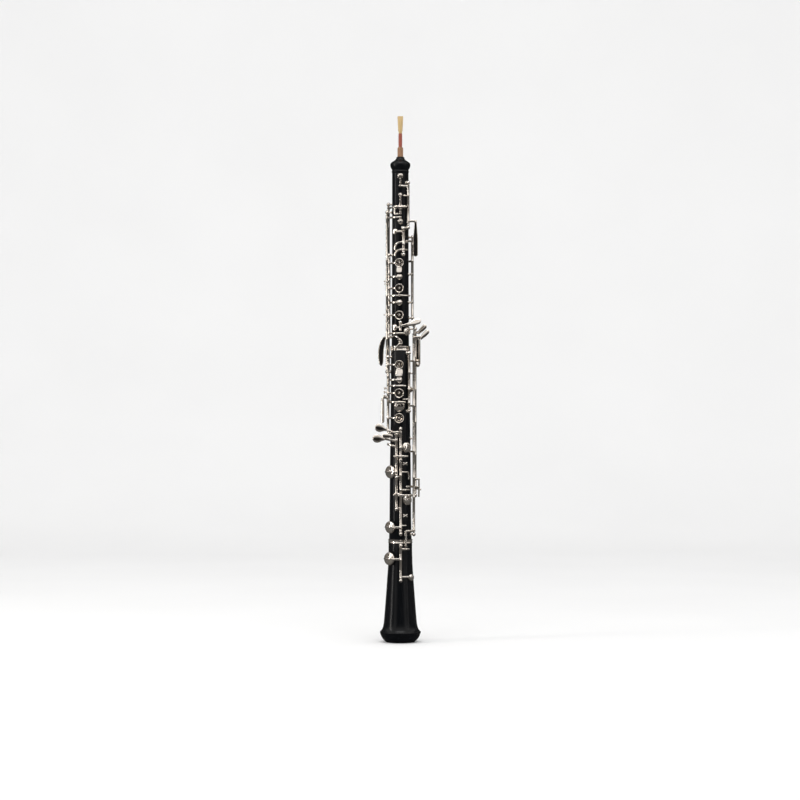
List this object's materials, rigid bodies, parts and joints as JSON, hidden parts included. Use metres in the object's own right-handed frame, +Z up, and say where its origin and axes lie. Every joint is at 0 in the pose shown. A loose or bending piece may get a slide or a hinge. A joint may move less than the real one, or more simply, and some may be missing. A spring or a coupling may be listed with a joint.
{
  "type": "oboe",
  "caption": "Upright oboe with a double reed, dark turned wood body, flared bell and silver keywork on post-mounted rods.",
  "frame": {"origin": "centre of the bore at the bell's bottom face", "axes": "+Z up the bore to the reed, -Y the front with the finger plates, +X to the right seen from the front"},
  "size_m": [0.0702, 0.0536, 0.6463],
  "materials": {
    "blackwood": "polished, fine close grain",
    "silver": "silver plate, polished",
    "steel": "drawn rod",
    "cork": "matt cork",
    "pad": "smooth skin",
    "staple": "drawn tube",
    "thread": "wound thread",
    "cane": "scraped cane"
  },
  "bodies": {
    "oboe_body": {"upper_joint": "blackwood", "lower_joint": "blackwood", "bell": "blackwood", "tenon_corks": "cork", "middle_socket_ring": "silver", "bell_socket_ring": "silver", "posts": "silver", "hinge_rods": "steel", "thumb_rest": "silver", "thumb_rest_screws": "steel", "lever_saddle": "silver", "key_guides": "silver"},
    "side_octave_key": {"side_octave_key": "silver", "side_octave_pad": "pad"},
    "thumb_octave_key": {"thumb_octave_key": "silver"},
    "first_octave_key": {"first_octave_key": "silver", "first_octave_pad": "pad"},
    "c_trill_key": {"c_trill_key": "silver"},
    "d_trill_key": {"d_trill_key": "silver", "d_trill_pad": "pad"},
    "half_hole_key": {"half_hole_key": "silver", "half_hole_pad": "pad"},
    "b_vent_key": {"b_vent_key": "silver", "b_vent_pad": "pad"},
    "b_key": {"b_key": "silver", "b_pad": "pad"},
    "a_vent_key": {"a_vent_key": "silver", "a_vent_pad": "pad"},
    "g_key": {"g_key": "silver", "g_pads": "pad"},
    "g_sharp_key": {"g_sharp_key": "silver", "g_sharp_pad": "pad"},
    "f_sharp_key": {"f_sharp_key": "silver", "f_sharp_pad": "pad"},
    "f_vent_key": {"f_vent_key": "silver", "f_vent_pad": "pad"},
    "e_key": {"e_key": "silver", "e_pad": "pad"},
    "d_key": {"d_key": "silver", "d_pads": "pad"},
    "f_resonance_key": {"f_resonance_key": "silver", "f_resonance_pad": "pad"},
    "e_flat_key": {"e_flat_key": "silver", "e_flat_pad": "pad"},
    "low_c_key": {"low_c_key": "silver", "low_c_pad": "pad"},
    "c_sharp_key": {"c_sharp_key": "silver", "c_sharp_pad": "pad"},
    "low_b_key": {"low_b_key": "silver", "low_b_pad": "pad"},
    "low_b_touch": {"low_b_touch": "silver"},
    "low_b_flat_touch": {"low_b_flat_touch": "silver"},
    "bell_key": {"bell_key": "silver", "bell_pads": "pad"},
    "c_trill_lever": {"c_trill_lever": "silver", "c_trill_pad": "pad"},
    "reed": {"reed_staple": "staple", "staple_cork": "cork", "reed_thread": "thread", "reed_blades": "cane"}
  },
  "joints": [
    {"name": "side_octave_key_hinge", "type": "hinge", "parent": "oboe_body", "child": "side_octave_key", "pos_m": [0.00964, -0.00931, 0.536], "axis": [0, 0, 1], "range_deg": [0, 9], "stiffness_Nm_per_rad": 0.02},
    {"name": "thumb_octave_key_hinge", "type": "hinge", "parent": "oboe_body", "child": "thumb_octave_key", "pos_m": [0.01472, -0.00286, 0.4475], "axis": [0, 0, 1], "range_deg": [0, 5], "stiffness_Nm_per_rad": 0.02},
    {"name": "first_octave_key_hinge", "type": "hinge", "parent": "oboe_body", "child": "first_octave_key", "pos_m": [0.00403, -0.0132, 0.4915], "axis": [0, 0, 1], "range_deg": [0, 7.5], "stiffness_Nm_per_rad": 0.02},
    {"name": "c_trill_key_hinge", "type": "hinge", "parent": "oboe_body", "child": "c_trill_key", "pos_m": [-0.01456, 0.0071, 0.417], "axis": [0, 0, 1], "range_deg": [-6, 0], "stiffness_Nm_per_rad": 0.02},
    {"name": "d_trill_key_hinge", "type": "hinge", "parent": "oboe_body", "child": "d_trill_key", "pos_m": [-0.01624, 0.00228, 0.43], "axis": [0, 0, 1], "range_deg": [-8, 0], "stiffness_Nm_per_rad": 0.02},
    {"name": "half_hole_key_hinge", "type": "hinge", "parent": "oboe_body", "child": "half_hole_key", "pos_m": [-0.0137, -0.00445, 0.4627], "axis": [0, 0, 1], "range_deg": [0, 8], "stiffness_Nm_per_rad": 0.02},
    {"name": "b_vent_key_hinge", "type": "hinge", "parent": "oboe_body", "child": "b_vent_key", "pos_m": [-0.0137, -0.00445, 0.4484], "axis": [0, 0, 1], "range_deg": [0, 8], "stiffness_Nm_per_rad": 0.02},
    {"name": "b_key_hinge", "type": "hinge", "parent": "oboe_body", "child": "b_key", "pos_m": [-0.0137, -0.00445, 0.4323], "axis": [0, 0, 1], "range_deg": [0, 8], "stiffness_Nm_per_rad": 0.02},
    {"name": "a_vent_key_hinge", "type": "hinge", "parent": "oboe_body", "child": "a_vent_key", "pos_m": [-0.0137, -0.00445, 0.4164], "axis": [0, 0, 1], "range_deg": [0, 8], "stiffness_Nm_per_rad": 0.02},
    {"name": "g_key_hinge", "type": "hinge", "parent": "oboe_body", "child": "g_key", "pos_m": [-0.0137, -0.00445, 0.3944], "axis": [0, 0, 1], "range_deg": [0, 8], "stiffness_Nm_per_rad": 0.02},
    {"name": "g_sharp_key_hinge", "type": "hinge", "parent": "oboe_body", "child": "g_sharp_key", "pos_m": [0, -0.0144, 0.3857], "axis": [0, 0, 1], "range_deg": [0, 9], "stiffness_Nm_per_rad": 0.02},
    {"name": "f_sharp_key_hinge", "type": "hinge", "parent": "oboe_body", "child": "f_sharp_key", "pos_m": [-0.01498, -0.00501, 0.3368], "axis": [0, 0, 1], "range_deg": [0, 8], "stiffness_Nm_per_rad": 0.02},
    {"name": "f_vent_key_hinge", "type": "hinge", "parent": "oboe_body", "child": "f_vent_key", "pos_m": [-0.01498, -0.00501, 0.3216], "axis": [0, 0, 1], "range_deg": [0, 8], "stiffness_Nm_per_rad": 0.02},
    {"name": "e_key_hinge", "type": "hinge", "parent": "oboe_body", "child": "e_key", "pos_m": [-0.01498, -0.00501, 0.307], "axis": [0, 0, 1], "range_deg": [0, 8], "stiffness_Nm_per_rad": 0.02},
    {"name": "d_key_hinge", "type": "hinge", "parent": "oboe_body", "child": "d_key", "pos_m": [-0.01498, -0.00501, 0.278], "axis": [0, 0, 1], "range_deg": [0, 8], "stiffness_Nm_per_rad": 0.02},
    {"name": "f_resonance_key_hinge", "type": "hinge", "parent": "oboe_body", "child": "f_resonance_key", "pos_m": [0.0107, -0.01108, 0.3192], "axis": [0, 0, 1], "range_deg": [-4, 0], "stiffness_Nm_per_rad": 0.02},
    {"name": "e_flat_key_hinge", "type": "hinge", "parent": "oboe_body", "child": "e_flat_key", "pos_m": [0.00045, -0.01719, 0.243], "axis": [0, 0, 1], "range_deg": [-9, 0], "stiffness_Nm_per_rad": 0.02},
    {"name": "low_c_key_hinge", "type": "hinge", "parent": "oboe_body", "child": "low_c_key", "pos_m": [-0.00474, -0.01653, 0.2287], "axis": [0, 0, 1], "range_deg": [-8, 0], "stiffness_Nm_per_rad": 0.02},
    {"name": "c_sharp_key_hinge", "type": "hinge", "parent": "oboe_body", "child": "c_sharp_key", "pos_m": [-0.00474, -0.01653, 0.1832], "axis": [0, 0, 1], "range_deg": [-9, 0], "stiffness_Nm_per_rad": 0.02},
    {"name": "low_b_key_hinge", "type": "hinge", "parent": "oboe_body", "child": "low_b_key", "pos_m": [0.00045, -0.01719, 0.1787], "axis": [0, 0, 1], "range_deg": [-8, 0], "stiffness_Nm_per_rad": 0.02},
    {"name": "low_b_touch_hinge", "type": "hinge", "parent": "oboe_body", "child": "low_b_touch", "pos_m": [0.0183, -0.00192, 0.2823], "axis": [0, 0, 1], "range_deg": [0, 6], "stiffness_Nm_per_rad": 0.02},
    {"name": "low_b_flat_touch_hinge", "type": "hinge", "parent": "oboe_body", "child": "low_b_flat_touch", "pos_m": [0.01654, -0.00807, 0.257], "axis": [0, 0, 1], "range_deg": [0, 6], "stiffness_Nm_per_rad": 0.02},
    {"name": "bell_key_hinge", "type": "hinge", "parent": "oboe_body", "child": "bell_key", "pos_m": [0.00049, -0.01859, 0.0977], "axis": [0, 0, 1], "range_deg": [-8, 0], "stiffness_Nm_per_rad": 0.02},
    {"name": "c_trill_lever_hinge", "type": "hinge", "parent": "oboe_body", "child": "c_trill_lever", "pos_m": [0, -0.0136, 0.5337], "axis": [1, 0, 0], "range_deg": [0, 8], "stiffness_Nm_per_rad": 0.02},
    {"name": "reed_slide", "type": "slide", "parent": "oboe_body", "child": "reed", "axis": [0, 0, 1], "range_m": [0, 0.03]}
  ],
  "couplings": [
    {"joint": "first_octave_key_hinge", "follows": "thumb_octave_key_hinge", "ratio": 1.5},
    {"joint": "c_trill_lever_hinge", "follows": "c_trill_key_hinge", "ratio": -1.3333},
    {"joint": "b_vent_key_hinge", "follows": "b_key_hinge", "ratio": 1},
    {"joint": "a_vent_key_hinge", "follows": "g_key_hinge", "ratio": 1},
    {"joint": "f_vent_key_hinge", "follows": "f_sharp_key_hinge", "ratio": 1},
    {"joint": "f_resonance_key_hinge", "follows": "e_key_hinge", "ratio": -0.5},
    {"joint": "low_b_key_hinge", "follows": "low_b_touch_hinge", "ratio": -1.3333},
    {"joint": "bell_key_hinge", "follows": "low_b_flat_touch_hinge", "ratio": -1.3333}
  ]
}
